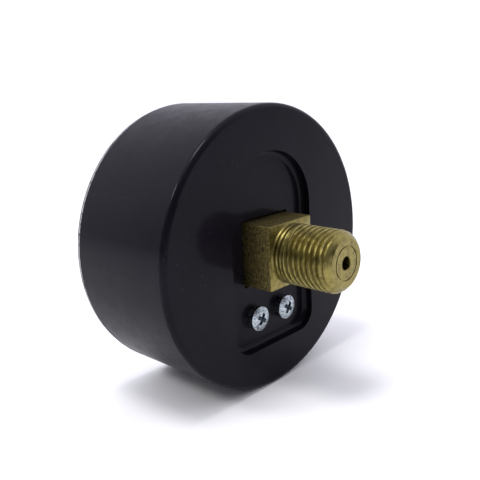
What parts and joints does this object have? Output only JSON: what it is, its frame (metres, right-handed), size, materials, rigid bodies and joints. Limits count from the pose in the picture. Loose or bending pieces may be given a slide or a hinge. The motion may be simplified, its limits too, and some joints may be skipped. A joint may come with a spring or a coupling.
{
  "type": "pressure gauge",
  "caption": "Dial pressure gauge with a round black case, a brass wrench square and threaded stem at the centre of the back, and a Bourdon-tube movement behind the dial.",
  "frame": {"origin": "on the axis of the threaded stem, in the rear face of the wrench square, where the stem begins", "axes": "+Y along the stem, out of the back of the gauge; the dial faces -Y; +Z is 12 o'clock on the dial; +X is 3 o'clock for someone reading the dial"},
  "size_m": [0.0632, 0.0476, 0.0632],
  "materials": {
    "case_black": "black moulded plastic, fine satin grain",
    "lens_clear": "clear polycarbonate",
    "dial_white": "white painted aluminium with black print",
    "pointer_black": "black painted aluminium",
    "brass_worn": "dull milled brass, turned thread",
    "brass_plate": "punched brass sheet",
    "bronze_tube": "drawn phosphor bronze",
    "zinc_steel": "bright zinc plated",
    "steel": "turned steel"
  },
  "bodies": {
    "gauge": {"case": "case_black", "lens": "lens_clear", "dial": "dial_white", "stop_pin": "brass_plate", "socket": "brass_worn", "restrictor": "steel", "passage_plug": "brass_plate", "case_screws": "zinc_steel", "bourdon_tube": "bronze_tube", "back_plate": "brass_plate", "front_plate": "brass_plate", "pillars": "brass_plate", "movement_screws": "steel", "plate_screws": "steel", "hairspring": "bronze_tube", "spring_stud": "brass_plate"},
    "sector": {"sector_gear": "brass_plate", "sector_arbor": "steel", "link_tail_pin": "steel"},
    "link": {"link": "brass_plate", "link_tip_pin": "steel"},
    "tip": {"tip_piece": "brass_plate"},
    "pointer": {"pinion_arbor": "steel", "pointer": "pointer_black", "pointer_hub": "brass_plate", "spring_collet": "brass_plate"}
  },
  "joints": [
    {"name": "sector_turn", "type": "hinge", "parent": "gauge", "child": "sector", "pos_m": [0, -0.0184, -0.0154], "axis": [0, 1, 0], "range_deg": [-27, 0], "stiffness_Nm_per_rad": 0.02},
    {"name": "pointer_turn", "type": "hinge", "parent": "gauge", "child": "pointer", "pos_m": [0, -0.0184, 0], "axis": [0, 1, 0], "range_deg": [0, 270], "deforming": ["hairspring"]},
    {"name": "link_swing", "type": "hinge", "parent": "sector", "child": "link", "pos_m": [0.00348, -0.0178, -0.02029], "axis": [0, 1, 0], "range_deg": [0, 27]},
    {"name": "tip_flex", "type": "hinge", "parent": "gauge", "child": "tip", "pos_m": [-0.00184, -0.0142, 0.00565], "axis": [0, 1, 0], "range_deg": [-6.67, 0], "deforming": ["bourdon_tube"]}
  ],
  "couplings": [
    {"joint": "pointer_turn", "follows": "sector_turn", "ratio": -10},
    {"joint": "link_swing", "follows": "sector_turn", "ratio": -1},
    {"joint": "tip_flex", "follows": "sector_turn", "ratio": 0.24718}
  ]
}
